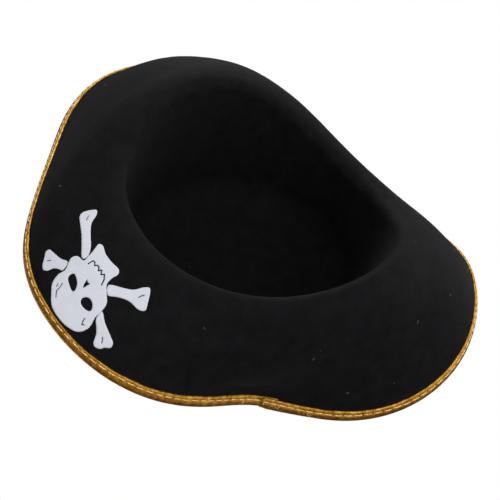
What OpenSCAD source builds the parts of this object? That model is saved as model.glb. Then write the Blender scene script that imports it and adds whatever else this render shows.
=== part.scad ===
// Moulded felt pirate hat with a turned-up brim, gold edge braid and a skull print.
// +Z points up through the crown and -Y is the front of the hat as it is worn.
// The origin is the middle of the head opening. The wearer's left is +X.

/* [Head opening] */
// Half the width of the oval head opening, from ear to ear.
opening_half_width = 83; // [76:1:90]
// Half the length of the oval head opening, from front to back.
opening_half_length = 98; // [90:1:106]
// Radius of the soft fold where the crown turns out into the brim.
fold_radius = 7; // [5:0.5:9]
// How far the opening dips over the ears.
ear_drop = 13.5; // [0:0.5:15]
// How far the opening lifts at the nape.
nape_lift = 17; // [0:0.5:20]

/* [Crown] */
// Height of the inside of the crown's top above the opening.
crown_height = 98; // [85:1:110]
// Radius of the rounded shoulder round the top of the crown.
shoulder_radius = 24; // [15:1:28]
// Size of the crown at its shoulder, as a share of the opening.
crown_taper = 0.93; // [0.86:0.01:1]
// How far the crown leans to the back.
crown_lean = 6; // [0:1:10]
// Rise of the crown's top towards its middle.
crown_dome = 3; // [0:0.5:5]

/* [Brim width] */
// Width of the brim at the wearer's left, measured along the felt from the fold.
width_left = 96.5; // [80:0.5:110]
// Width at the back left quarter.
width_back_left = 84.5; // [70:0.5:95]
// Width at the back.
width_back = 100.5; // [80:0.5:110]
// Width at the back right quarter.
width_back_right = 78.5; // [70:0.5:95]
// Width at the wearer's right.
width_right = 108; // [80:0.5:115]
// Width at the front right quarter.
width_front_right = 79.5; // [70:0.5:95]
// Width at the front.
width_front = 70; // [64:0.5:80]
// Width at the front left quarter.
width_front_left = 62.5; // [58:0.5:85]

/* [Brim slope] */
// Degrees the brim climbs soon after the fold, at the wearer's left.
slope_left = 34.5; // [10:0.5:40]
// Slope at the back left quarter.
slope_back_left = 10.5; // [5:0.5:25]
// Slope at the back.
slope_back = 34.5; // [10:0.5:40]
// Slope at the back right quarter.
slope_back_right = 2; // [0:0.5:25]
// Slope at the wearer's right.
slope_right = 49; // [10:0.5:55]
// Slope at the front right quarter.
slope_front_right = 49; // [10:0.5:55]
// Slope at the front.
slope_front = 10.5; // [5:0.5:30]
// Slope at the front left quarter.
slope_front_left = 27; // [10:0.5:40]

/* [Brim curl] */
// Degrees the brim goes on curling from the fold to the edge, at the wearer's left.
curl_left = 21; // [15:1:50]
// Curl at the back left quarter.
curl_back_left = 77; // [40:1:80]
// Curl at the back.
curl_back = 25; // [20:1:50]
// Curl at the back right quarter.
curl_back_right = 52; // [40:1:75]
// Curl at the wearer's right.
curl_right = 44; // [20:1:50]
// Curl at the front right quarter.
curl_front_right = 58; // [40:1:70]
// Curl at the front.
curl_front = 36; // [25:1:50]
// Curl at the front left quarter.
curl_front_left = 49; // [40:1:70]

/* [Brim lip] */
// Degrees the last part of the brim turns up (or, below zero, flares out), at the wearer's right.
lip_right = -31; // [-45:1:10]
// The same at the front right quarter.
lip_front_right = -49; // [-55:1:10]

/* [Felt] */
// Thickness of the moulded felt.
felt_thickness = 2; // [1.5:0.1:2.6]
// Straight facets round the hat.
around = 80; // [60:4:88]
// Rings of facets across the brim, the last one under the braid.
brim_rings = 12; // [8:1:14]

/* [Edge braid] */
// How far the braid reaches in from the felt's edge, on each face.
braid_reach = 5; // [3:0.5:7]
// The same along the wearer's right.
braid_reach_right = 5.5; // [3:0.5:7]
// The same at the front.
braid_reach_front = 3; // [3:0.5:7]
// Thickness of the braid.
braid_thickness = 1.2; // [0.5:0.1:1.4]
// Air left between the braid and the felt.
braid_gap = 0.1; // [0.1:0.05:0.3]
// Where the ends of the braid lap, in degrees round the hat from the wearer's left.
join_angle = 202.5; // [190:0.5:215]
// Facets over which the free end lies on top of the start.
lap_facets = 1; // [1:1:3]

/* [Stitching] */
// Length of one stitch and the gap after it.
stitch_pitch = 6.5; // [5:0.5:9]
// Thread showing in each stitch.
stitch_length = 5.2; // [3:0.1:6]
// Radius of the sewing thread.
thread_radius = 0.35; // [0.2:0.05:0.4]
// Place of the seam between the felt's edge and the inner edge of the braid, as a share.
seam_share = 0.45; // [0.3:0.05:0.6]
// Radius of the hooks in the loose thread ends at the join.
tail_radius = 1.2; // [0.8:0.1:1.6]

/* [Print] */
// Thickness of the white print on the underside of the front brim.
print_thickness = 0.35; // [0.25:0.05:0.5]
// How far the middle of the print sits to the wearer's right.
print_shift = 3; // [0:0.5:6]
// Size of the whole print against its normal size.
print_scale = 1; // [0.85:0.05:1]
// Width of the dark line between the teeth.
bite_width = 0.7; // [0.5:0.1:1]
// Width of the fine dark marks on the skull and the bones.
mark_width = 0.5; // [0.3:0.1:0.7]

/* [Hidden] */

felt_black = [0.07, 0.07, 0.08];
braid_gold = [0.72, 0.52, 0.16];
thread_gold = [0.92, 0.76, 0.36];
print_white = [0.86, 0.86, 0.89];

widths = [width_left, width_back_left, width_back, width_back_right,
  width_right, width_front_right, width_front, width_front_left];
slopes = [slope_left, slope_back_left, slope_back, slope_back_right,
  slope_right, slope_front_right, slope_front, slope_front_left];
curls = [curl_left, curl_back_left, curl_back, curl_back_right,
  curl_right, curl_front_right, curl_front, curl_front_left];
lips = [0, 0, 0, 0, lip_right, lip_front_right, 0, 0];
reaches = [braid_reach, braid_reach, braid_reach, braid_reach_right,
  braid_reach_right, braid_reach_right, braid_reach_front, braid_reach];

// The slope is reached over this share of the width, and the lip starts at this one.
ease = 1 / 6;
lip_start = 0.8;
// Rings across the flat of the crown's top, its shoulder, its wall and the fold.
top_rings = 3;
shoulder_steps = 4;
wall_steps = 3;
fold_steps = 3;
// Air between a sewing thread or the print and what it lies on.
thread_gap = 0.1;
print_gap = 0.05;
// Layers one over another at the join.
lap_rise = braid_thickness + braid_gap;
// Half circle of the braid round the felt's edge, in steps.
wrap_steps = 4;
wrap_inner = felt_thickness / 2 + braid_gap;
wrap_outer = wrap_inner + braid_thickness;
// The print's own upright plane.
print_turn = 270;
print_height = 0.5;
print_depth = 50;
curve_steps = 3;
tail_bend = 200;

// One of eight even waves round the hat: 1 at its own station, 0 at the other seven.
function wave(x) = abs(sin(x / 2)) < 0.000001
  ? 1
  : sin(4 * x) * cos(x / 2) / (8 * sin(x / 2));

// Smooth value at an angle, through eight station values 45 degrees apart.
function round_hat(stations, angle) = [for (k = [0:7]) wave(angle - 45 * k)] * stations;
function width_at(angle) = round_hat(widths, angle);
function slope_at(angle) = round_hat(slopes, angle);
function curl_at(angle) = round_hat(curls, angle);
function lip_at(angle) = round_hat(lips, angle);
function reach_at(angle) = round_hat(reaches, angle);

function oval(angle) = [opening_half_width * cos(angle), opening_half_length * sin(angle)];
function outward(angle) =
  let (v = [cos(angle) / opening_half_width, sin(angle) / opening_half_length])
  v / norm(v);
function fold_z(angle) = nape_lift * pow(sin(angle), 3) - ear_drop * cos(2 * angle);
function raise(p, z) = [p.x, p.y, z];

// Distance gone out and up over a share of the width, at a slope that starts at a and turns at a rate.
function arc_run(rate, a, share) = abs(rate) < 0.001
  ? share * [cos(a), sin(a)]
  : [sin(a + rate * share) - sin(a), cos(a) - cos(a + rate * share)] * 180 / PI / rate;

// Slope of the brim at a share u of its width.
function brim_slope(angle, u) = slope_at(angle) * min(1, u / ease) + curl_at(angle) * u
  + lip_at(angle) * max(0, (u - lip_start) / (1 - lip_start));

// Underside of the brim out and up from the fold, at a share u of its width.
function brim_run(angle, u) =
  let (s = slope_at(angle))
  let (c = curl_at(angle))
  let (near = arc_run(s / ease + c, 0, min(u, ease)))
  let (middle = arc_run(c, s + c * ease, max(0, min(u, lip_start) - ease)))
  let (far = arc_run(c + lip_at(angle) / (1 - lip_start), s + c * lip_start, max(0, u - lip_start)))
  width_at(angle) * (near + middle + far);

// Point of the brim, lifted off the underside towards the crown.
function brim_point(angle, u, lift) =
  let (run = brim_run(angle, u))
  let (a = brim_slope(angle, u))
  let (p = oval(angle) + outward(angle) * (fold_radius + run.x - lift * sin(a)))
  raise(p, fold_z(angle) + run.y + lift * cos(a));

function fold_point(angle, turn, lift) =
  let (r = fold_radius - lift)
  let (p = oval(angle) + outward(angle) * (fold_radius - r * cos(turn)))
  raise(p, fold_z(angle) + fold_radius - r * sin(turn));

function shoulder_point(angle, turn, lift) =
  let (r = shoulder_radius + lift)
  let (p = crown_taper * oval(angle) + outward(angle) * (r * cos(turn) - shoulder_radius))
  raise([p.x, p.y + crown_lean], crown_height - shoulder_radius + r * sin(turn));

function wall_point(angle, share, lift) =
  shoulder_point(angle, 0, lift) * (1 - share) + fold_point(angle, 0, lift) * share;

function top_point(angle, share, lift) =
  let (p = shoulder_point(angle, 90, lift) - [0, crown_lean, 0])
  [p.x * share, p.y * share + crown_lean, p.z + crown_dome * (1 - share * share)];

// Angle of a facet corner round the hat, and share of the width of a ring of the brim.
function column(i) = join_angle + 360 * i / around;
function ring_share(angle, j) = j == brim_rings
  ? 1
  : (1 - reach_at(angle) / width_at(angle)) * j / (brim_rings - 1);
function grid_point(i, j, lift) = brim_point(column(i), ring_share(column(i), j), lift);

// All rings of one face of the felt, from the crown's top to the edge of the brim.
function felt_face(lift) = [
  for (k = [1:top_rings - 1]) [for (i = [0:around - 1]) top_point(column(i), k / top_rings, lift)],
  for (k = [0:shoulder_steps])
    [for (i = [0:around - 1]) shoulder_point(column(i), 90 - 90 * k / shoulder_steps, lift)],
  for (k = [1:wall_steps]) [for (i = [0:around - 1]) wall_point(column(i), k / wall_steps, lift)],
  for (k = [1:fold_steps]) [for (i = [0:around - 1]) fold_point(column(i), 90 * k / fold_steps, lift)],
  for (j = [1:brim_rings]) [for (i = [0:around - 1]) grid_point(i, j, lift)]
];

function back_to_front(v) = [for (k = [len(v) - 1:-1:0]) v[k]];
function flat_list(v) = [for (row = v) each row];

// Two triangles between neighbouring corners of two rows; a and b are the rows' first corners.
function cell(a, b, i, j) = [[a + j, a + i, b + i], [a + j, b + i, b + j]];

module felt_body() {
  rows = concat(felt_face(0), back_to_front(felt_face(felt_thickness)));
  low_pole = [0, crown_lean, crown_height + crown_dome];
  high_pole = low_pole + [0, 0, felt_thickness];
  last = 1 + (len(rows) - 1) * around;
  color(felt_black)
    polyhedron(
      points = concat([low_pole], flat_list(rows), [high_pole]),
      faces = concat(
        [for (i = [0:around - 1]) [0, 1 + i, 1 + (i + 1) % around]],
        [for (r = [0:len(rows) - 2]) for (i = [0:around - 1])
          each cell(1 + r * around, 1 + (r + 1) * around, i, (i + 1) % around)],
        [for (i = [0:around - 1]) [last + (i + 1) % around, last + i, last + around]]
      ),
      convexity = 8
    );
}

// How far the braid stands off at a facet corner: it climbs over its own start at the end.
function lap_lift(i) = lap_rise * min(1, max(0, (i - (around - 3)) / 2));

// Outline of the braid at one facet corner: outside from the underside round to the top, then back inside.
function braid_side(i, radius) =
  let (lift = radius - felt_thickness / 2)
  let (edge = brim_point(column(i), 1, felt_thickness / 2))
  let (out = brim_slope(column(i), 1))
  let (n = outward(column(i)))
  [
    grid_point(i, brim_rings - 1, -lift),
    for (k = [0:wrap_steps])
      let (a = out - 90 + 180 * k / wrap_steps)
      edge + radius * [n.x * cos(a), n.y * cos(a), sin(a)],
    grid_point(i, brim_rings - 1, felt_thickness + lift)
  ];
function braid_section(i) = concat(
  braid_side(i, wrap_outer + lap_lift(i)),
  back_to_front(braid_side(i, wrap_inner + lap_lift(i)))
);

module edge_braid() {
  last = around + lap_facets;
  side = wrap_steps + 3;
  rim = 2 * side;
  color(braid_gold)
    polyhedron(
      points = flat_list([for (i = [0:last]) braid_section(i)]),
      faces = concat(
        [for (r = [0:last - 1]) for (k = [0:rim - 1])
          each cell(r * rim, (r + 1) * rim, k, (k + 1) % rim)],
        [for (k = [0:side - 2]) each [[k, k + 1, rim - 1 - k], [k + 1, rim - 2 - k, rim - 1 - k]]],
        [for (k = [0:side - 2]) each
          [for (f = [[k, rim - 1 - k, k + 1], [k + 1, rim - 1 - k, rim - 2 - k]])
            f + last * rim * [1, 1, 1]]]
      ),
      convexity = 8
    );
}

// Straight thread between two points.
module thread(a, b) {
  v = b - a;
  translate(a)
    rotate([0, acos(v.z / norm(v)), atan2(v.y, v.x)])
      cylinder(h = norm(v), r = thread_radius, $fn = 24);
}

// Line of the seam past one facet corner, over the lap where there is one.
function seam_lift(i) = thread_radius + thread_gap + (i <= lap_facets ? lap_rise : lap_lift(i));
function seam_point(i, side) =
  let (off = braid_gap + braid_thickness + seam_lift(i))
  let (lift = side > 0 ? felt_thickness + off : -off)
  grid_point(i, brim_rings - 1, lift) * seam_share + grid_point(i, brim_rings, lift) * (1 - seam_share);

function gone(lengths, n) = n == 0 ? 0 : lengths[n - 1] + gone(lengths, n - 1);
function along(line, table, s) =
  let (x = lookup(s, table))
  let (i = min(floor(x), len(line) - 2))
  line[i] * (1 - x + i) + line[i + 1] * (x - i);

// Even stitches all round the edge, on the underside (-1) or the top (1).
module seam(side) {
  line = [for (i = [0:around]) seam_point(i, side)];
  lengths = [for (i = [0:around - 1]) norm(line[i + 1] - line[i])];
  table = [for (i = [0:around]) [gone(lengths, i), i]];
  total = gone(lengths, around);
  count = floor(total / stitch_pitch);
  step = total / count;
  color(thread_gold)
    for (k = [0:count - 1])
      thread(
        along(line, table, k * step + (step - stitch_length) / 2),
        along(line, table, k * step + (step + stitch_length) / 2)
      );
}

module needle_stitches() {
  seam(-1);
}

module bobbin_stitches() {
  seam(1);
}

// Hooked end of the sewing thread lying on the seam at facet i, opened towards a bearing.
module tail(i, bearing) {
  seat = seam_point(i, -1);
  lie = unit(seam_point(i + 1, -1) - seat);
  flat_out = unit(grid_point(i, brim_rings, 0) - grid_point(i, brim_rings - 1, 0));
  off = unit(cross(lie, flat_out));
  across = cross(off, lie);
  home = seat + off * (2 * thread_radius + thread_gap + thread_gap);
  multmatrix([
    [lie.x, across.x, off.x, home.x],
    [lie.y, across.y, off.y, home.y],
    [lie.z, across.z, off.z, home.z],
    [0, 0, 0, 1]
  ])
    rotate([0, 0, bearing])
      rotate_extrude(angle = tail_bend, $fn = 32)
        translate([tail_radius, 0])
          circle(r = thread_radius * 0.8, $fn = 16);
}
function unit(v) = v / norm(v);

module thread_tails() {
  color(thread_gold) {
    tail(0, 40);
    tail(around - 2, 200);
    tail(1 + lap_facets, 100);
  }
}

// Piece of the print's layer over some facets of the underside of the brim.
module layer(i0, i1, j0, j1) {
  n = i1 - i0 + 1;
  m = j1 - j0 + 1;
  half = n * m;
  rim = concat(
    [for (i = [0:n - 2]) i],
    [for (j = [0:m - 2]) j * n + n - 1],
    [for (i = [n - 1:-1:1]) (m - 1) * n + i],
    [for (j = [m - 1:-1:1]) j * n]
  );
  polyhedron(
    points = [for (lift = [-print_gap, -print_gap - print_thickness])
      for (j = [j0:j1]) for (i = [i0:i1]) grid_point(i, j, lift)],
    faces = concat(
      [for (j = [0:m - 2]) for (i = [0:n - 2]) for (f = cell(j * n, (j + 1) * n, i, i + 1))
        [f[2], f[1], f[0]]],
      [for (j = [0:m - 2]) for (i = [0:n - 2]) for (f = cell(j * n, (j + 1) * n, i, i + 1))
        f + half * [1, 1, 1]],
      [for (k = [0:len(rim) - 1])
        let (a = rim[k])
        let (b = rim[(k + 1) % len(rim)])
        each [[a, b, b + half], [a, b + half, a + half]]]
    ),
    convexity = 4
  );
}

// The drawing under it, sent square onto the brim: x to the wearer's left, y up the brim.
module onto_brim() {
  a = brim_slope(print_turn, print_height);
  home = brim_point(print_turn, print_height, 0);
  multmatrix([
    [1, 0, 0, home.x - print_shift],
    [0, -cos(a), -sin(a), home.y],
    [0, sin(a), -cos(a), home.z],
    [0, 0, 0, 1]
  ])
    translate([0, 0, -print_depth / 2])
      linear_extrude(print_depth)
        scale(print_scale)
          children();
}

// Closed smooth curve through corner points.
function bend(a, b, c, d, t) =
  b + (c - a) * t / 2 + (2 * a - 5 * b + 4 * c - d) * t * t / 2
  + (3 * b - a - 3 * c + d) * t * t * t / 2;
function smooth(p) = [
  for (i = [0:len(p) - 1]) for (k = [0:curve_steps - 1])
    bend(p[(i + len(p) - 1) % len(p)], p[i], p[(i + 1) % len(p)], p[(i + 2) % len(p)], k / curve_steps)
];

module skull_outline() {
  polygon(smooth([
    [-16, 9.5], [-16.5, 15], [-18.5, 21], [-16.5, 27], [-11, 30], [-4, 31], [4, 30], [10, 26],
    [15, 21.5], [16.8, 16], [16.2, 11.5], [18.5, 7.5], [19.8, 4], [18, 1], [13.6, 0.2], [13.8, -3],
    [15, -8], [16.6, -12.5], [14, -13.8], [9, -12], [3, -11.6], [-3, -12.2], [-5.5, -10],
    [-5.2, -6], [-6.2, -1.5], [-10.6, 2], [-14.5, 5]
  ]));
}

// Line of even width through corner points.
module stroke(line, width) {
  for (k = [0:len(line) - 2]) {
    v = line[k + 1] - line[k];
    w = width / 2 * [-v.y, v.x] / norm(v);
    e = width / 3 * v / norm(v);
    polygon([line[k] - w - e, line[k] + w - e, line[k + 1] + w + e, line[k + 1] - w + e]);
  }
}

// Jagged gap between the upper and the lower teeth.
module bite() {
  stroke([[-4.6, 1], [-3, -2], [-0.8, -4], [0.4, -2.4], [2.3, -4.3], [3.2, -2.6], [4.6, -4.2],
    [6, -4.2], [7, -2.8], [8.6, -4.2], [10, -3.8], [10.2, -0.6]], bite_width);
}

// Cracks drawn on both sides of the forehead.
module cracks() {
  stroke([[-15.6, 22.2], [-14.7, 23.2], [-13.8, 22], [-13.2, 19.8]], mark_width);
  stroke([[6.8, 25], [9.6, 22.6], [9.9, 19.8], [10.8, 17.4]], mark_width);
  stroke([[11.6, 21.2], [12.4, 19.4]], mark_width);
}

module skull_print() {
  color(print_white)
    intersection() {
      layer(10, 20, 2, brim_rings - 1);
      onto_brim()
        difference() {
          skull_outline();
          polygon(smooth([[-12.2, 14.8], [-9, 16.6], [-5, 16.2], [-3.6, 13.6], [-6, 10.9], [-10, 11.6]]));
          polygon(smooth([[2.6, 14.5], [4.2, 15.8], [10.8, 13.4], [11.7, 10.4], [10.2, 8.8], [5.2, 10.8]]));
          polygon([[0.7, 10.2], [0, 5.6], [1.5, 6.1], [3.2, 5.2], [2.1, 8.4]]);
          bite();
          cracks();
        }
    }
}

module right_upper_bone() {
  color(print_white)
    intersection() {
      layer(8, 15, 5, brim_rings - 1);
      onto_brim()
        difference() {
          polygon(smooth([
            [-17.2, 14.8], [-20.8, 17.6], [-23.6, 20.2], [-25.6, 23.8], [-27.8, 24.9], [-30.4, 23.2],
            [-31.4, 20.8], [-33.4, 18.4], [-32.6, 15.6], [-29, 14.4], [-22, 12.4], [-16.4, 9.8]
          ]));
          stroke([[-28.8, 20.7], [-28, 19.5], [-26.9, 18.4]], mark_width);
        }
    }
}

module right_lower_bone() {
  color(print_white)
    intersection() {
      layer(8, 17, 0, 8);
      onto_brim()
        difference() {
          polygon(smooth([
            [-11.2, 1.8], [-15, -1.4], [-19, -4.4], [-23, -6], [-27.5, -6.6], [-30.5, -9.4],
            [-28.4, -13], [-25, -17.4], [-22.4, -19.2], [-20, -16.4], [-17.8, -11.6], [-13.8, -7.8],
            [-7, -2.2]
          ]));
          stroke([[-22.8, -10.9], [-23, -12.6], [-23.8, -14.2]], mark_width);
        }
    }
}

module left_upper_bone() {
  color(print_white)
    intersection() {
      layer(16, 23, 5, brim_rings - 1);
      onto_brim()
        difference() {
          polygon(smooth([
            [17, 12.4], [19.6, 14], [22, 16], [23.2, 19.2], [25.6, 20.7], [28.6, 19.2],
            [31, 16.4], [34.2, 13], [33.4, 10.6], [29, 10], [23.6, 9.2], [19.2, 7.4]
          ]));
          stroke([[28.6, 16], [27.9, 14.9], [27.1, 14.2]], mark_width);
        }
    }
}

module left_lower_bone() {
  color(print_white)
    intersection() {
      layer(16, 24, 0, 7);
      onto_brim()
        difference() {
          polygon(smooth([
            [14.4, -4], [14.2, -1], [16, -0.3], [22, -4.5], [28, -8.6], [34, -11.8], [39.4, -14.8],
            [40.8, -18], [39.2, -22], [36.8, -25.1], [33.8, -22.8], [31, -17.6], [25.6, -13.2],
            [18, -8.2]
          ]));
          stroke([[34.7, -16.5], [35.6, -17.6], [36.4, -19]], mark_width);
        }
    }
}

felt_body();
edge_braid();
needle_stitches();
bobbin_stitches();
thread_tails();
skull_print();
right_upper_bone();
right_lower_bone();
left_upper_bone();
left_lower_bone();
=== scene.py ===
"""Moulded felt pirate hat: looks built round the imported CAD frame.

Lengths are millimetres until a mesh is made.
"""
import math
import random

import bpy
import numpy as np
from mathutils import Matrix, Vector, noise
from mathutils.geometry import delaunay_2d_cdt

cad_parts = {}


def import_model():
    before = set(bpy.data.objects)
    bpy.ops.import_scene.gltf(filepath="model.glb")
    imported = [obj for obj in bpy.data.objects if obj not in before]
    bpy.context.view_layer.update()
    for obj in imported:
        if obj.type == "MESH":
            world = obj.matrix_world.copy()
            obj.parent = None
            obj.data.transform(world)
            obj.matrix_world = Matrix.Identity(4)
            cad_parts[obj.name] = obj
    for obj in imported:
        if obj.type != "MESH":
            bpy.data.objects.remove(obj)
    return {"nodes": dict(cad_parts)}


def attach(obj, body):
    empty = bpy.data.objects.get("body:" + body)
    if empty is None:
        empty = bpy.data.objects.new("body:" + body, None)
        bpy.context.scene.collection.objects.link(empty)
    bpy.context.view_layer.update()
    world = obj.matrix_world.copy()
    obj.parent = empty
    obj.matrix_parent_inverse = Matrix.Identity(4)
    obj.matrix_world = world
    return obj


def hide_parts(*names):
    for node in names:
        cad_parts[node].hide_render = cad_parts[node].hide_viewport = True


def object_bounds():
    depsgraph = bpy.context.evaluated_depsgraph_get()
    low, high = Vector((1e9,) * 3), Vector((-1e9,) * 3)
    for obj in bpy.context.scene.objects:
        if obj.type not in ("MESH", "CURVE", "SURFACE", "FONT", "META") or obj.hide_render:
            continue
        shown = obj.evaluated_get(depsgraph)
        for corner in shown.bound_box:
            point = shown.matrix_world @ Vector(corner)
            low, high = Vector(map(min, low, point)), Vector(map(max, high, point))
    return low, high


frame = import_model()
CAD_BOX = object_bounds()
MM = 0.001

# ---------------------------------------------------------------- the hat's rule
HALF_WIDTH, HALF_LENGTH = 83.0, 98.0
FOLD_RADIUS, EAR_DROP, NAPE_LIFT = 7.0, 13.5, 17.0
CROWN_HEIGHT, SHOULDER_RADIUS, CROWN_TAPER, CROWN_LEAN, CROWN_DOME = 98.0, 24.0, 0.93, 6.0, 3.0
# Eight stations round the hat: left, back left, back, back right, right, front right, front, front left.
WIDTHS = np.array([96.5, 84.5, 100.5, 78.5, 108, 79.5, 70, 62.5])
SLOPES = np.array([34.5, 10.5, 34.5, 2, 49, 49, 10.5, 27])
CURLS = np.array([21, 77, 25, 52, 44, 58, 36, 49], float)
LIPS = np.array([0, 0, 0, 0, -31, -49, 0, 0], float)
REACHES = np.array([5, 5, 5, 5.5, 5.5, 5.5, 3, 5])
EASE, LIP_START = 1 / 6, 0.8
FELT = 2.0
BRAID_THICK, BRAID_GAP = 1.2, 0.1
JOIN_ANGLE = 202.5
LAP_LENGTH = 12.0
STITCH_PITCH, STITCH_LENGTH, SEAM_SHARE = 6.5, 5.2, 0.45
PRINT_THICK, PRINT_SHIFT, PRINT_TURN, PRINT_HEIGHT = 0.35, 3.0, 270.0, 0.5

rng = random.Random(7)


def wave(x):
    s = np.sin(np.radians(x) / 2)
    flat = np.abs(s) < 1e-7
    s = np.where(flat, 1, s)
    return np.where(flat, 1, np.sin(4 * np.radians(x)) * np.cos(np.radians(x) / 2) / (8 * s))


def round_hat(stations, angle):
    return sum(stations[k] * wave(angle - 45 * k) for k in range(8))


def outward(angle):
    v = np.stack([np.cos(np.radians(angle)) / HALF_WIDTH, np.sin(np.radians(angle)) / HALF_LENGTH], -1)
    return v / np.linalg.norm(v, axis=-1, keepdims=True)


def oval(angle):
    return np.stack([HALF_WIDTH * np.cos(np.radians(angle)), HALF_LENGTH * np.sin(np.radians(angle))], -1)


def fold_z(angle):
    return NAPE_LIFT * np.sin(np.radians(angle)) ** 3 - EAR_DROP * np.cos(np.radians(2 * angle))


def place(angle, h, z):
    """Point h outside the oval opening, at height z."""
    p = oval(angle) + outward(angle) * np.asarray(h)[..., None]
    return np.concatenate([p, np.broadcast_to(z, p.shape[:-1])[..., None]], -1)


def brim_slope(angle, u):
    lip = round_hat(LIPS, angle) * np.maximum(0, (u - LIP_START) / (1 - LIP_START))
    return np.radians(round_hat(SLOPES, angle) * np.minimum(1, u / EASE) + round_hat(CURLS, angle) * u + lip)


def arc_run(rate, start, share):
    """Distance out and up over a share of the width, at a slope that begins at start and turns at a rate."""
    straight = np.abs(rate) < 1e-6
    rate = np.where(straight, 1, rate)
    end = start + rate * share
    out = np.where(straight, share * np.cos(start), (np.sin(end) - np.sin(start)) / rate)
    return out, np.where(straight, share * np.sin(start), (np.cos(start) - np.cos(end)) / rate)


def brim_point(angle, u, lift):
    """Point at share u of the brim's width, lifted off its underside towards the crown."""
    slope, curl = np.radians(round_hat(SLOPES, angle)), np.radians(round_hat(CURLS, angle))
    lip = np.radians(round_hat(LIPS, angle)) / (1 - LIP_START)
    near = arc_run(slope / EASE + curl, 0 * slope, np.minimum(u, EASE))
    middle = arc_run(curl, slope + curl * EASE, np.maximum(0, np.minimum(u, LIP_START) - EASE))
    far = arc_run(curl + lip, slope + curl * LIP_START, np.maximum(0, u - LIP_START))
    h, v = near[0] + middle[0] + far[0], near[1] + middle[1] + far[1]
    width, a = round_hat(WIDTHS, angle), brim_slope(angle, u)
    lift = lift + softness(angle, u)
    beyond = FOLD_RADIUS + width * h - lift * np.sin(a)
    return place(angle, beyond, fold_z(angle) + width * v + lift * np.cos(a))


def softness(angle, u):
    """Slow unevenness of worn felt, in millimetres: nothing at the fold, most in the middle of the brim."""
    a = np.radians(angle)
    swell = 0.5 * np.sin(5 * a + 1.0) * np.sin(7 * u + 0.4) + 0.35 * np.sin(9 * a + 2.2) * np.sin(11 * u)
    return swell * np.clip(4 * u, 0, 1)


def fold_point(angle, turn, lift):
    r = FOLD_RADIUS - lift
    return place(angle, FOLD_RADIUS - r * math.cos(turn), fold_z(angle) + FOLD_RADIUS - r * math.sin(turn))


def shoulder_point(angle, turn, lift):
    r = SHOULDER_RADIUS + lift
    p = CROWN_TAPER * oval(angle) + outward(angle) * (r * math.cos(turn) - SHOULDER_RADIUS)
    z = np.full(p.shape[:-1], CROWN_HEIGHT - SHOULDER_RADIUS + r * math.sin(turn))
    return np.concatenate([p, z[..., None]], -1) + [0, CROWN_LEAN, 0]


def top_point(angle, share, lift):
    p = shoulder_point(angle, math.pi / 2, lift) - [0, CROWN_LEAN, 0]
    return p * [share, share, 1] + [0, CROWN_LEAN, CROWN_DOME * (1 - share * share)]


# ---------------------------------------------------------------- meshes
def make(name, verts, faces, material, stands_for=(), flat=None):
    mesh = bpy.data.meshes.new(name)
    mesh.from_pydata((np.asarray(verts, float) * MM).tolist(), [], faces)
    if flat is not None:
        corners = np.array([v for face in faces for v in face])
        mesh.uv_layers.new(name="weave").data.foreach_set("uv", np.asarray(flat, float)[corners].ravel())
    mesh.validate()
    mesh.shade_smooth()
    mesh.materials.append(material)
    obj = bpy.data.objects.new(name, mesh)
    bpy.context.scene.collection.objects.link(obj)
    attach(obj, "root")
    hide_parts(*stands_for)
    return obj


def loft_faces(rows, columns, first=0, closed=True):
    """Quads between rows of equal length; the first vertex of row r is first + r * columns."""
    r, c = np.meshgrid(np.arange(rows - 1), np.arange(columns if closed else columns - 1), indexing="ij")
    a, b = first + r * columns + c, first + r * columns + (c + 1) % columns
    return np.stack([b, a, a + columns, b + columns], -1).reshape(-1, 4).tolist()


class Tubes:
    """Many thin tubes gathered into one mesh."""

    def __init__(self):
        self.verts, self.faces = [], []

    def add(self, path, radii, sides=6):
        path = np.asarray(path, float)
        t = np.gradient(path, axis=0)
        t /= np.linalg.norm(t, axis=1, keepdims=True)
        helper = np.where(np.abs(t[:, 2:]) < 0.9, [[0, 0, 1.0]], [[1.0, 0, 0]])
        x = np.cross(t, helper)
        x /= np.linalg.norm(x, axis=1, keepdims=True)
        y = np.cross(t, x)
        a = np.arange(sides) * 2 * math.pi / sides
        ring = np.cos(a)[None, :, None] * x[:, None] + np.sin(a)[None, :, None] * y[:, None]
        first = len(self.verts)
        self.verts += (path[:, None] + ring * np.asarray(radii, float)[:, None, None]).reshape(-1, 3).tolist()
        self.faces += loft_faces(len(path), sides, first)
        last = first + (len(path) - 1) * sides
        self.faces += [list(range(first, first + sides)), list(range(last + sides - 1, last - 1, -1))]


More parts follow.
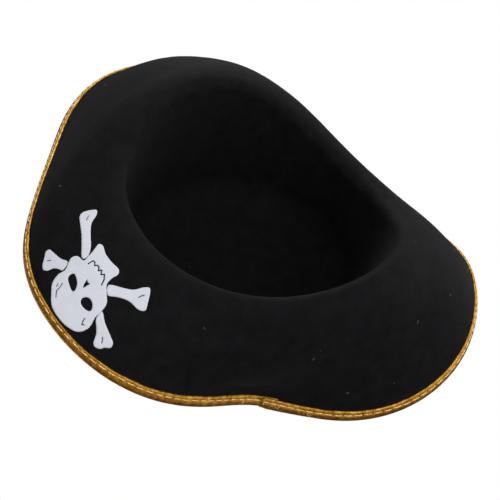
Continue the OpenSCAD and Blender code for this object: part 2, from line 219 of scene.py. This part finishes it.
# ---------------------------------------------------------------- materials
class Nodes:
    """Short hand for building a material's nodes."""

    def __init__(self, name):
        self.material = bpy.data.materials.new(name)
        self.material.use_nodes = True
        self.tree = self.material.node_tree
        self.shader = self.tree.nodes["Principled BSDF"]
        self.place = self.add("ShaderNodeTexCoord").outputs["Object"]

    def add(self, kind, **inputs):
        node = self.tree.nodes.new(kind)
        for key, value in inputs.items():
            key = key.replace("_", " ").title() if isinstance(key, str) else key
            if isinstance(value, bpy.types.NodeSocket):
                self.tree.links.new(value, node.inputs[key])
            else:
                node.inputs[key].default_value = value
        return node

    def math(self, how, a, b=None):
        node = self.tree.nodes.new("ShaderNodeMath")
        node.operation = how
        for socket, value in zip(node.inputs, (a, b)):
            if isinstance(value, bpy.types.NodeSocket):
                self.tree.links.new(value, socket)
            elif value is not None:
                socket.default_value = value
        return node.outputs[0]

    def noise(self, size_mm, detail=3.0, roughness=0.55):
        node = self.add("ShaderNodeTexNoise", scale=1000 / size_mm, detail=detail, roughness=roughness)
        self.tree.links.new(self.place, node.inputs["Vector"])
        return node.outputs["Fac"]

    def ramp(self, value, *stops):
        node = self.add("ShaderNodeValToRGB")
        self.tree.links.new(value, node.inputs["Fac"])
        band = node.color_ramp
        while len(band.elements) < len(stops):
            band.elements.new(0.5)
        for element, (at, colour) in zip(band.elements, stops):
            element.position = at
            element.color = (*colour, 1) if len(colour) == 3 else colour
        return node.outputs["Color"]

    def mix(self, fac, a, b, blend="MIX"):
        node = self.tree.nodes.new("ShaderNodeMix")
        node.data_type, node.blend_type = "RGBA", blend
        for socket, value in ((node.inputs[0], fac), (node.inputs[6], a), (node.inputs[7], b)):
            if isinstance(value, bpy.types.NodeSocket):
                self.tree.links.new(value, socket)
            elif isinstance(value, tuple):
                socket.default_value = (*value, 1)
            else:
                socket.default_value = value
        return node.outputs[2]

    def bump(self, height, depth_mm, strength=1.0, under=None):
        node = self.add("ShaderNodeBump", strength=strength, distance=depth_mm * MM)
        self.tree.links.new(height, node.inputs["Height"])
        if under is not None:
            self.tree.links.new(under, node.inputs["Normal"])
        return node.outputs["Normal"]

    def finish(self, **inputs):
        for key, value in inputs.items():
            socket = self.shader.inputs[key.replace("_", " ").title().replace("Ior", "IOR")]
            if isinstance(value, bpy.types.NodeSocket):
                self.tree.links.new(value, socket)
            else:
                socket.default_value = (*value, 1) if isinstance(value, tuple) and len(value) == 3 else value
        return self.material


def felt_material():
    n = Nodes("black_flocked_felt")
    mottle = n.ramp(n.noise(9, 4), (0.35, (0.0052, 0.0052, 0.0058)), (0.7, (0.0078, 0.0078, 0.0086)))
    flock = n.ramp(n.noise(0.5, 2), (0.3, (0.6, 0.6, 0.6)), (0.75, (1.35, 1.35, 1.35)))
    colour = n.mix(1.0, mottle, flock, "MULTIPLY")
    coarse = n.bump(n.noise(5, 3), 0.25, 0.5)
    fine = n.bump(n.noise(0.7, 3), 0.22, 0.9, coarse)
    return n.finish(base_color=colour, roughness=0.7, normal=fine, specular_ior_level=0.02,
                    sheen_weight=0.02, sheen_roughness=0.35, sheen_tint=(0.93, 0.94, 1.0))


def braid_material():
    n = Nodes("woven_gold_braid")
    weave = n.add("ShaderNodeUVMap")
    weave.uv_map = "weave"
    parts = n.add("ShaderNodeSeparateXYZ")
    n.tree.links.new(weave.outputs["UV"], parts.inputs[0])
    across = n.math("ABSOLUTE", parts.outputs["Y"])
    slant = n.math("ADD", parts.outputs["X"], n.math("MULTIPLY", across, 0.9))
    rib = n.math("SINE", n.math("MULTIPLY", slant, 2 * math.pi / 0.8))
    dull, plain, bright = (0.34, 0.155, 0.01), (0.66, 0.36, 0.035), (1.0, 0.66, 0.15)
    tone = n.ramp(n.noise(3.5, 4), (0.3, dull), (0.52, plain), (0.74, bright))
    fibre = n.ramp(n.noise(0.35, 2), (0.3, (0.55, 0.55, 0.55)), (0.7, (1.15, 1.15, 1.15)))
    colour = n.mix(1.0, tone, fibre, "MULTIPLY")
    stripes = n.ramp(rib, (0.0, (0.62, 0.55, 0.5)), (0.6, (1.1, 1.1, 1.1)))
    colour = n.mix(1.0, colour, stripes, "MULTIPLY")
    # Painted shade and painted light: the braid's rolled edge, up to about 3 mm either side of the edge's
    # middle, is painted darker brown as shade, and the flat flanges beyond it are painted a little brighter.
    fold = n.ramp(n.math("MULTIPLY", across, 0.125), (0.4, (0.48, 0.37, 0.26)), (0.68, (1.15, 1.12, 1.1)))
    colour = n.mix(1.0, colour, fold, "MULTIPLY")
    fine = n.bump(n.noise(0.4, 2), 0.12, 0.8)
    return n.finish(base_color=colour, metallic=0.9, roughness=0.42, normal=n.bump(rib, 0.08, 0.8, fine))


def thread_material():
    n = Nodes("shiny_gold_thread")
    tone = n.ramp(n.noise(2.5, 3), (0.3, (0.66, 0.36, 0.07)), (0.7, (1.0, 0.72, 0.3)))
    fine = n.bump(n.noise(0.2, 2), 0.05, 0.6)
    return n.finish(base_color=tone, metallic=0.6, roughness=0.3, normal=fine)


def print_material():
    n = Nodes("white_transfer_print")
    tone = n.ramp(n.noise(6, 4), (0.3, (0.535, 0.545, 0.605)), (0.7, (0.575, 0.585, 0.64)))
    speck = n.ramp(n.noise(0.8, 2), (0.2, (0.7, 0.7, 0.7)), (0.32, (1.0, 1.0, 1.0)))
    colour = n.mix(1.0, tone, speck, "MULTIPLY")
    stain = n.ramp(n.noise(11, 1), (0.72, (1.0, 1.0, 1.0)), (0.8, (0.95, 0.88, 0.7)))
    colour = n.mix(1.0, colour, stain, "MULTIPLY")
    fine = n.bump(n.noise(0.9, 3), 0.06, 0.6)
    return n.finish(base_color=colour, roughness=0.6, normal=fine, specular_ior_level=0.3)


def lint_material():
    n = Nodes("pale_lint")
    tone = n.ramp(n.noise(1.0, 2), (0.3, (0.35, 0.34, 0.32)), (0.7, (0.7, 0.69, 0.66)))
    return n.finish(base_color=tone, roughness=0.9)


def floor_material():
    n = Nodes("pale_floor")
    tone = n.ramp(n.noise(900, 2), (0.3, (0.86, 0.86, 0.86)), (0.7, (0.88, 0.88, 0.88)))
    return n.finish(base_color=tone, roughness=0.9, emission_color=(1.0, 1.0, 1.0), emission_strength=0.42)


FELT_MAT, BRAID_MAT, THREAD_MAT = felt_material(), braid_material(), thread_material()
PRINT_MAT, LINT_MAT = print_material(), lint_material()


# ---------------------------------------------------------------- felt shell
def felt_shell(columns=480):
    angle = np.arange(columns) * 360 / columns

    def face(lift):
        rows = [top_point(angle, k / 8, lift) for k in range(1, 8)]
        rows += [shoulder_point(angle, math.pi / 2 * (1 - k / 12), lift) for k in range(13)]
        high, low = shoulder_point(angle, 0, lift), fold_point(angle, 0, lift)
        rows += [high * (1 - k / 16) + low * k / 16 for k in range(1, 17)]
        rows += [fold_point(angle, math.pi / 2 * k / 8, lift) for k in range(1, 9)]
        rows += [brim_point(angle, k / 48, lift) for k in range(1, 49)]
        return rows

    rows = face(0) + face(FELT)[::-1]
    verts = np.concatenate([r.reshape(-1, 3) for r in rows])
    # fine mottling of the flocked surface
    for i, p in enumerate(verts):
        verts[i] = p + 0.12 * np.array(noise.noise_vector(Vector(p) * 0.16)) * (0.6 if i % 2 else 1)
    low_pole = [0, CROWN_LEAN, CROWN_HEIGHT + CROWN_DOME]
    high_pole = [0, CROWN_LEAN, CROWN_HEIGHT + CROWN_DOME + FELT]
    n = len(verts)
    last = n - columns
    faces = loft_faces(len(rows), columns)
    faces += [[n, i, (i + 1) % columns] for i in range(columns)]
    faces += [[last + (i + 1) % columns, last + i, n + 1] for i in range(columns)]
    return make("hat_felt", np.vstack([verts, low_pole, high_pole]), faces, FELT_MAT, ["felt_body"])


# ---------------------------------------------------------------- edge line, by length
LINE_STEPS = 1440
_turn = JOIN_ANGLE + np.arange(LINE_STEPS + 1) * 360 / LINE_STEPS
_line = brim_point(_turn, np.ones_like(_turn), FELT / 2)
_run = np.concatenate([[0], np.cumsum(np.linalg.norm(np.diff(_line, axis=0), axis=1))])
EDGE_LENGTH = _run[-1]


def angle_at(s):
    """Angle round the hat at a length s along the edge from the braid's join."""
    return np.interp(np.mod(s, EDGE_LENGTH), _run, _turn)


WRAP_INNER = FELT / 2 + BRAID_GAP
WRAP_MIDDLE = WRAP_INNER + BRAID_THICK / 2
HALF_WRAP = math.pi / 2 * WRAP_MIDDLE
LAP_RISE = BRAID_THICK + BRAID_GAP


def on_braid(s, c, height):
    """Point of the braid at length s, distance c across it from the edge's middle, height off its inside."""
    angle = angle_at(s)
    flank = np.maximum(np.abs(c) - HALF_WRAP, 0)
    u = 1 - flank / round_hat(WIDTHS, angle)
    under = c < 0
    lift = np.where(under, -BRAID_GAP - height, FELT + BRAID_GAP + height)
    flat = brim_point(angle, u, lift)
    mid = brim_point(angle, np.ones_like(u), FELT / 2)
    a = brim_slope(angle, 1.0) + np.clip(c / WRAP_MIDDLE, -math.pi / 2, math.pi / 2)
    n, r = outward(angle), (WRAP_INNER + height)
    bent = mid + np.stack([n[..., 0] * np.cos(a) * r, n[..., 1] * np.cos(a) * r, np.sin(a) * r], -1)
    return np.where((np.abs(c) > HALF_WRAP)[..., None], flat, bent)


def lap_height(s):
    """How far the braid's free end climbs over its start."""
    return LAP_RISE * np.clip((s - (EDGE_LENGTH - 26)) / 24, 0, 1)


STITCHES = int(EDGE_LENGTH // STITCH_PITCH)
STEP = EDGE_LENGTH / STITCHES


def seam_line(s):
    """How far the seam lies from the middle of the edge, across the braid."""
    return HALF_WRAP + SEAM_SHARE * round_hat(REACHES, angle_at(s))


def edge_braid(spacing=0.4, rib=1.6):
    count = int((EDGE_LENGTH + LAP_LENGTH) / spacing)
    s = np.linspace(0, EDGE_LENGTH + LAP_LENGTH, count)[:, None]
    half = HALF_WRAP + round_hat(REACHES, angle_at(s))
    across = np.linspace(-1, 1, 33)[None]
    seam = seam_line(s)
    uneven = 0.22 * np.sin(s / 9.1 + 0.6) + 0.18 * np.sin(s / 3.7 + 1.9)
    scallop = 0.1 * np.sin(2 * math.pi * s / rib)
    reach = half + uneven + scallop
    c = across * reach
    herring = np.cos(2 * math.pi * (s / rib + 0.9 * np.abs(c) / rib))
    relief = 0.075 * herring
    phase = np.mod(s - STEP / 2, STEP) / STEP
    hole = 0.6 + 0.4 * np.cos(2 * math.pi * (phase - 0.5)) ** 2
    press = -0.45 * hole * np.exp(-(((np.abs(c) - seam) / 0.7) ** 2))
    puff = 0.2 * np.exp(-(((np.abs(c) - seam - 1.6) / 0.8) ** 2)) + 0.15 * np.exp(-((c / 2.2) ** 2))
    edge = np.clip((1 - np.abs(across)) * half / 0.5, 0, 1)
    left = np.clip((EDGE_LENGTH + LAP_LENGTH - s) / 5, 0, 1)
    thick = (0.35 + 0.65 * np.sqrt(edge)) * (0.3 + 0.7 * np.sqrt(left))
    height = (BRAID_THICK + relief + press + puff) * thick + lap_height(s)
    ragged = (1 - left) * (0.9 * np.sin(1.7 * c) + 0.6 * np.sin(4.1 * c + 1))
    outer = on_braid(s + ragged, c, height)
    inner_across = np.linspace(1, -1, 11)[None]
    ci = inner_across * (half - 0.15)
    inner = on_braid(s + 0 * ci, ci, 0.05 + lap_height(s) + 0 * ci)
    rows = np.concatenate([outer, inner], 1)
    ring = rows.shape[1]
    faces = loft_faces(count, ring)
    faces += [list(range(ring)), list(range(count * ring - 1, (count - 1) * ring - 1, -1))]
    flat = np.stack([np.broadcast_to(s, rows.shape[:2]), np.concatenate([c, ci], 1)], -1)
    return make("hat_braid", rows.reshape(-1, 3), faces, BRAID_MAT, ["edge_braid"],
                flat=flat.reshape(-1, 2))


def frayed_end(count=22):
    """Loose yarns where the braid was cut off at its join."""
    tubes = Tubes()
    q = np.linspace(0, 1, 8)
    reach = HALF_WRAP + round_hat(REACHES, angle_at(EDGE_LENGTH + LAP_LENGTH))
    for _ in range(count):
        c, length = rng.uniform(-0.95, 0.95) * reach, rng.uniform(1.2, 3.6)
        bend, rise = rng.uniform(-1.1, 1.1), rng.uniform(-0.5, 0.5)
        s = EDGE_LENGTH + LAP_LENGTH - 1 + q * length
        height = LAP_RISE + 0.3 + rise * q + 0.3 * np.sin(math.pi * q)
        tubes.add(on_braid(s, c + bend * q * q, height), 0.13 * (1 - 0.5 * q))
    flat = np.full((len(tubes.verts), 2), 3.0)
    return make("hat_frayed_end", tubes.verts, tubes.faces, BRAID_MAT, flat=flat)


def seam(name, side, node):
    """Two-ply twisted thread, each stitch dipping into the braid at both ends."""
    tubes = Tubes()
    t = np.linspace(0, 1, 15)
    for k in range(STITCHES):
        length = STITCH_LENGTH * rng.uniform(0.93, 1.04)
        s = k * STEP + (STEP - length) / 2 + t * length
        drift = side * (seam_line(s) + rng.uniform(-0.15, 0.15) + rng.uniform(-0.12, 0.12) * (t - 0.5))
        arch = BRAID_THICK - 0.42 + 0.55 * np.sin(math.pi * t) ** 0.35
        base = lap_height(np.where(s < LAP_LENGTH, EDGE_LENGTH, s))
        for ply in (0, math.pi):
            twist = 2 * math.pi * 1.6 * t + ply
            path = on_braid(s, drift + 0.2 * np.cos(twist), base + arch + 0.2 * np.sin(twist))
            tubes.add(path, 0.28 * (0.45 + 0.55 * np.sin(math.pi * t) ** 0.4))
    return make(name, tubes.verts, tubes.faces, THREAD_MAT, [node])


def thread_tails():
    """Loose hooked ends of the sewing thread, and fuzz, where the braid's ends lap."""
    tubes = Tubes()
    t = np.linspace(0, 1, 22)
    loops = ((-22, 2.6, 300, 1), (1, 2.4, 250, -1), (11, 1.8, 220, 1), (29, 1.6, 190, -1))
    for at, reach, curl, spin in loops:
        a = np.radians(curl) * t * spin
        c = reach * 0.55 * (1 - np.cos(a)) * (0.7 + 0.3 * t)
        s = EDGE_LENGTH + at + reach * 0.6 * np.sin(a) + 0.8 * t
        c = c - seam_line(s)
        base = LAP_RISE + BRAID_THICK + 0.45 + 0.5 * np.sin(math.pi * t)
        tubes.add(on_braid(s, c, base), 0.2 * (1 - 0.6 * t), 6)
    for _ in range(46):
        start = rng.uniform(-26, 34)
        length = rng.uniform(0.8, 2.4)
        c0 = rng.uniform(-2.0, 4.0) - seam_line(EDGE_LENGTH + start)
        lean, curl = rng.uniform(-1, 1), rng.uniform(-1.5, 1.5)
        q = t[:9] / t[8]
        s = EDGE_LENGTH + start + length * q * lean + 0.4 * curl * q * q
        c = c0 + length * q * rng.choice((-0.6, 0.6, 0.9))
        height = LAP_RISE + BRAID_THICK + rng.uniform(0.0, 0.5) + q * rng.uniform(0.0, 0.7)
        tubes.add(on_braid(s, c, height), 0.05 * (1 - 0.5 * q), 4)
    return make("hat_thread_tails", tubes.verts, tubes.faces, THREAD_MAT, ["thread_tails"])


# ---------------------------------------------------------------- print
_tilt = float(brim_slope(np.array(PRINT_TURN), PRINT_HEIGHT))
PRINT_HOME = brim_point(np.array(PRINT_TURN), np.array(PRINT_HEIGHT), 0.0) - [PRINT_SHIFT, 0, 0]
PRINT_X = np.array([1.0, 0, 0])
PRINT_Y = np.array([0, -math.cos(_tilt), math.sin(_tilt)])
PRINT_OUT = np.array([0, -math.sin(_tilt), -math.cos(_tilt)])


def outline_of(node):
    """Edges round the outer face of a CAD print node, as 2D points in the print's plane and index pairs."""
    mesh = frame["nodes"][node].data
    co = np.array([v.co for v in mesh.vertices], float) / MM
    keys = {}
    same = [keys.setdefault(tuple(np.round(p, 3)), len(keys)) for p in co]
    points = np.array([k for k in keys])
    seen = {}
    for face in mesh.polygons:
        normal = np.array(face.normal)
        if normal @ PRINT_OUT < 0.4:
            continue
        loop = [same[v] for v in face.vertices]
        for a, b in zip(loop, loop[1:] + loop[:1]):
            seen.setdefault((min(a, b), max(a, b)), []).append((a, b))
    rim = [v[0] for v in seen.values() if len(v) == 1]
    used = sorted({i for e in rim for i in e})
    index = {v: i for i, v in enumerate(used)}
    flat = (points[used] - PRINT_HOME) @ np.stack([PRINT_X, PRINT_Y], 1)
    return flat, [(index[a], index[b]) for a, b in rim]


def inside(p, flat, rim):
    """True where points p are inside the rim, by counting crossings."""
    a, b = flat[[e[0] for e in rim]], flat[[e[1] for e in rim]]
    crosses = (a[:, 1] > p[:, None, 1]) != (b[:, 1] > p[:, None, 1])
    dy = np.where(np.abs(b[:, 1] - a[:, 1]) < 1e-12, 1e-12, b[:, 1] - a[:, 1])
    x = a[:, 0] + (p[:, None, 1] - a[:, 1]) * (b[:, 0] - a[:, 0]) / dy
    return (crosses & (x > p[:, None, 0])).sum(1) % 2 == 1


def rim_distance(p, flat, rim):
    a, b = flat[[e[0] for e in rim]], flat[[e[1] for e in rim]]
    d = b - a
    t = np.clip(((p[:, None] - a) * d).sum(-1) / np.maximum((d * d).sum(-1), 1e-12), 0, 1)
    return np.linalg.norm(p[:, None] - a - t[..., None] * d, axis=-1).min(1)


def onto_brim(flat, lift):
    """Sends points of the print's plane square onto the underside of the brim, by Newton's rule."""
    angle, u = PRINT_TURN + flat[:, 0] * 0.4, PRINT_HEIGHT + flat[:, 1] / WIDTHS[6]

    def miss(angle, u):
        d = brim_point(angle, u, 0.0) - PRINT_HOME
        return np.stack([d @ PRINT_X - flat[:, 0], d @ PRINT_Y - flat[:, 1]], -1)

    for _ in range(12):
        m, da, du = miss(angle, u), 0.01, 0.0001
        ja, ju = (miss(angle + da, u) - m) / da, (miss(angle, u + du) - m) / du
        det = ja[:, 0] * ju[:, 1] - ja[:, 1] * ju[:, 0]
        angle = angle - (m[:, 0] * ju[:, 1] - m[:, 1] * ju[:, 0]) / det
        u = u - (ja[:, 0] * m[:, 1] - ja[:, 1] * m[:, 0]) / det
    p = brim_point(angle, u, 0.0)
    along = brim_point(angle + 0.01, u, 0.0) - p
    up = brim_point(angle, u + 0.0001, 0.0) - p
    normal = np.cross(along, up)
    normal /= np.linalg.norm(normal, axis=1, keepdims=True)
    normal *= np.sign(normal @ PRINT_OUT)[:, None]
    return p + normal * lift[:, None]


def print_piece(name, node, grain=0.7, edge=0.35):
    flat, rim = outline_of(node)
    lo, hi = flat.min(0), flat.max(0)
    gx, gy = np.meshgrid(np.arange(lo[0], hi[0], grain), np.arange(lo[1], hi[1], grain * 0.866))
    gx = gx + (np.arange(gx.shape[0]) % 2)[:, None] * grain / 2
    grid = np.stack([gx, gy], -1).reshape(-1, 2)
    grid = grid[inside(grid, flat, rim)]
    grid = grid[rim_distance(grid, flat, rim) > 0.2]
    points = np.vstack([flat, grid])
    out = delaunay_2d_cdt([Vector(p) for p in points], rim, [], 0, 1e-4)
    verts = np.array([list(v) for v in out[0]])
    faces = np.array([f for f in out[2] if len(f) == 3])
    faces = faces[inside(verts[faces].mean(1), flat, rim)]
    used = np.unique(faces)
    index = np.full(len(verts), -1)
    index[used] = np.arange(len(used))
    verts, faces = verts[used], index[faces]
    d = np.clip(rim_distance(verts, flat, rim) / edge, 0, 1)
    top = onto_brim(verts, 0.12 + (PRINT_THICK - 0.07) * np.sqrt(1 - (1 - d) ** 2))
    low = onto_brim(verts, np.full(len(verts), -0.05))
    n = len(verts)
    seen = {}
    for f in faces:
        for a, b in zip(f, np.roll(f, -1)):
            seen.setdefault((min(a, b), max(a, b)), []).append((int(a), int(b)))
    walls = [[a, b, b + n, a + n] for v in seen.values() if len(v) == 1 for a, b in v]
    all_faces = faces[:, ::-1].tolist() + (faces + n).tolist() + walls
    return make(name, np.vstack([top, low]), all_faces, PRINT_MAT, [node])


# ---------------------------------------------------------------- lint
def lint(count=26):
    tubes = Tubes()
    q = np.linspace(0, 1, 9)
    for _ in range(count):
        angle, u = rng.uniform(0, 360), rng.uniform(0.05, 0.85)
        size, bend, lean = rng.uniform(0.6, 1.7), rng.uniform(-1, 1), rng.uniform(0, 2 * math.pi)
        a = angle + 0.55 * size * (q * math.cos(lean) + bend * q * q * math.sin(lean))
        b = u + 0.012 * size * (q * math.sin(lean) - bend * q * q * math.cos(lean))
        side = rng.choice((-1, -1, 1))
        lift = -0.12 - 0.25 * np.sin(math.pi * q) if side < 0 else FELT + 0.12 + 0.25 * np.sin(math.pi * q)
        tubes.add(brim_point(a, b, lift), np.full(9, rng.uniform(0.03, 0.05)), 4)
    return make("hat_lint", tubes.verts, tubes.faces, LINT_MAT)


felt_shell()
edge_braid()
frayed_end()
seam("hat_needle_stitches", -1, "needle_stitches")
seam("hat_bobbin_stitches", 1, "bobbin_stitches")
thread_tails()
for node in ("skull_print", "right_upper_bone", "right_lower_bone", "left_upper_bone", "left_lower_bone"):
    print_piece("hat_" + node, node)
lint()


# ---------------------------------------------------------------- stage, light and camera
FORWARD = Vector((0.3323, 0.6236, 0.7077)).normalized()
UP = Vector((0.7037, 0.3356, -0.6262))
UP = (UP - UP.dot(FORWARD) * FORWARD).normalized()
RIGHT = FORWARD.cross(UP)
CAMERA_AT = Vector((-0.2831, -0.5173, -0.5358))
MIDDLE = (CAD_BOX[0] + CAD_BOX[1]) / 2
LAMP_DISTANCE, LAMP_SIZE = 1.5, 0.9
FLOOR_LEVEL, FLOOR_REACH = -1.6, 8.0


def camera():
    data = bpy.data.cameras.new("camera")
    data.sensor_width, data.lens = 36, 91.14
    obj = bpy.data.objects.new("camera", data)
    bpy.context.scene.collection.objects.link(obj)
    obj.matrix_world = Matrix((
        (RIGHT.x, UP.x, -FORWARD.x, CAMERA_AT.x),
        (RIGHT.y, UP.y, -FORWARD.y, CAMERA_AT.y),
        (RIGHT.z, UP.z, -FORWARD.z, CAMERA_AT.z),
        (0, 0, 0, 1)))
    bpy.context.scene.camera = obj


def area_light(name, direction, size, power):
    data = bpy.data.lights.new(name, "AREA")
    data.shape, data.size, data.energy = "DISK", size, power
    obj = bpy.data.objects.new(name, data)
    bpy.context.scene.collection.objects.link(obj)
    direction = direction.normalized()
    obj.location = MIDDLE + direction * LAMP_DISTANCE
    obj.rotation_mode = "QUATERNION"
    obj.rotation_quaternion = direction.to_track_quat("Z", "Y")
    obj.visible_camera = False


def floor():
    mesh = bpy.data.meshes.new("floor")
    s, z = FLOOR_REACH, FLOOR_LEVEL
    mesh.from_pydata([(-s, -s, z), (s, -s, z), (s, s, z), (-s, s, z)], [], [(0, 1, 2, 3)])
    mesh.materials.append(floor_material())
    obj = bpy.data.objects.new("floor", mesh)
    bpy.context.scene.collection.objects.link(obj)


def world(strength=0.26):
    w = bpy.data.worlds.new("studio")
    bpy.context.scene.world = w
    w.use_nodes = True
    tree = w.node_tree
    tree.nodes.clear()
    out = tree.nodes.new("ShaderNodeOutputWorld")
    mix = tree.nodes.new("ShaderNodeMixShader")
    seen = tree.nodes.new("ShaderNodeLightPath")
    soft, white = tree.nodes.new("ShaderNodeBackground"), tree.nodes.new("ShaderNodeBackground")
    soft.inputs["Strength"].default_value = strength
    soft.inputs["Color"].default_value = (0.95, 0.97, 1, 1)
    white.inputs["Color"].default_value = (1, 1, 1, 1)
    tree.links.new(seen.outputs["Is Camera Ray"], mix.inputs["Fac"])
    tree.links.new(soft.outputs[0], mix.inputs[1])
    tree.links.new(white.outputs[0], mix.inputs[2])
    tree.links.new(mix.outputs[0], out.inputs["Surface"])


camera()
floor()
world()
# Watts of each studio light, and where it stands as seen from the camera: right, up, towards the camera.
STUDIO = {
    "left": (5, -1, 0, 0.2),
    "front": (3.5, 0, 0, 1),
    "right_front": (7, 0.7, 0, 0.7),
    "top": (1.5, 0, 1, 0.1),
    "top_back": (10, 0.1, 0.9, -0.45),
    "right_back": (6, 0.9, 0.25, -0.4),
    "low_front": (3, 0.7, -0.5, 0.5),
}
for light, (power, right, up, near) in STUDIO.items():
    area_light(light, RIGHT * right + UP * up - FORWARD * near, LAMP_SIZE, power)
area_light("crown_light", Vector((0.3, -0.4, 1.0)), 1.0, 14)
bpy.context.scene.view_settings.view_transform = "Standard"
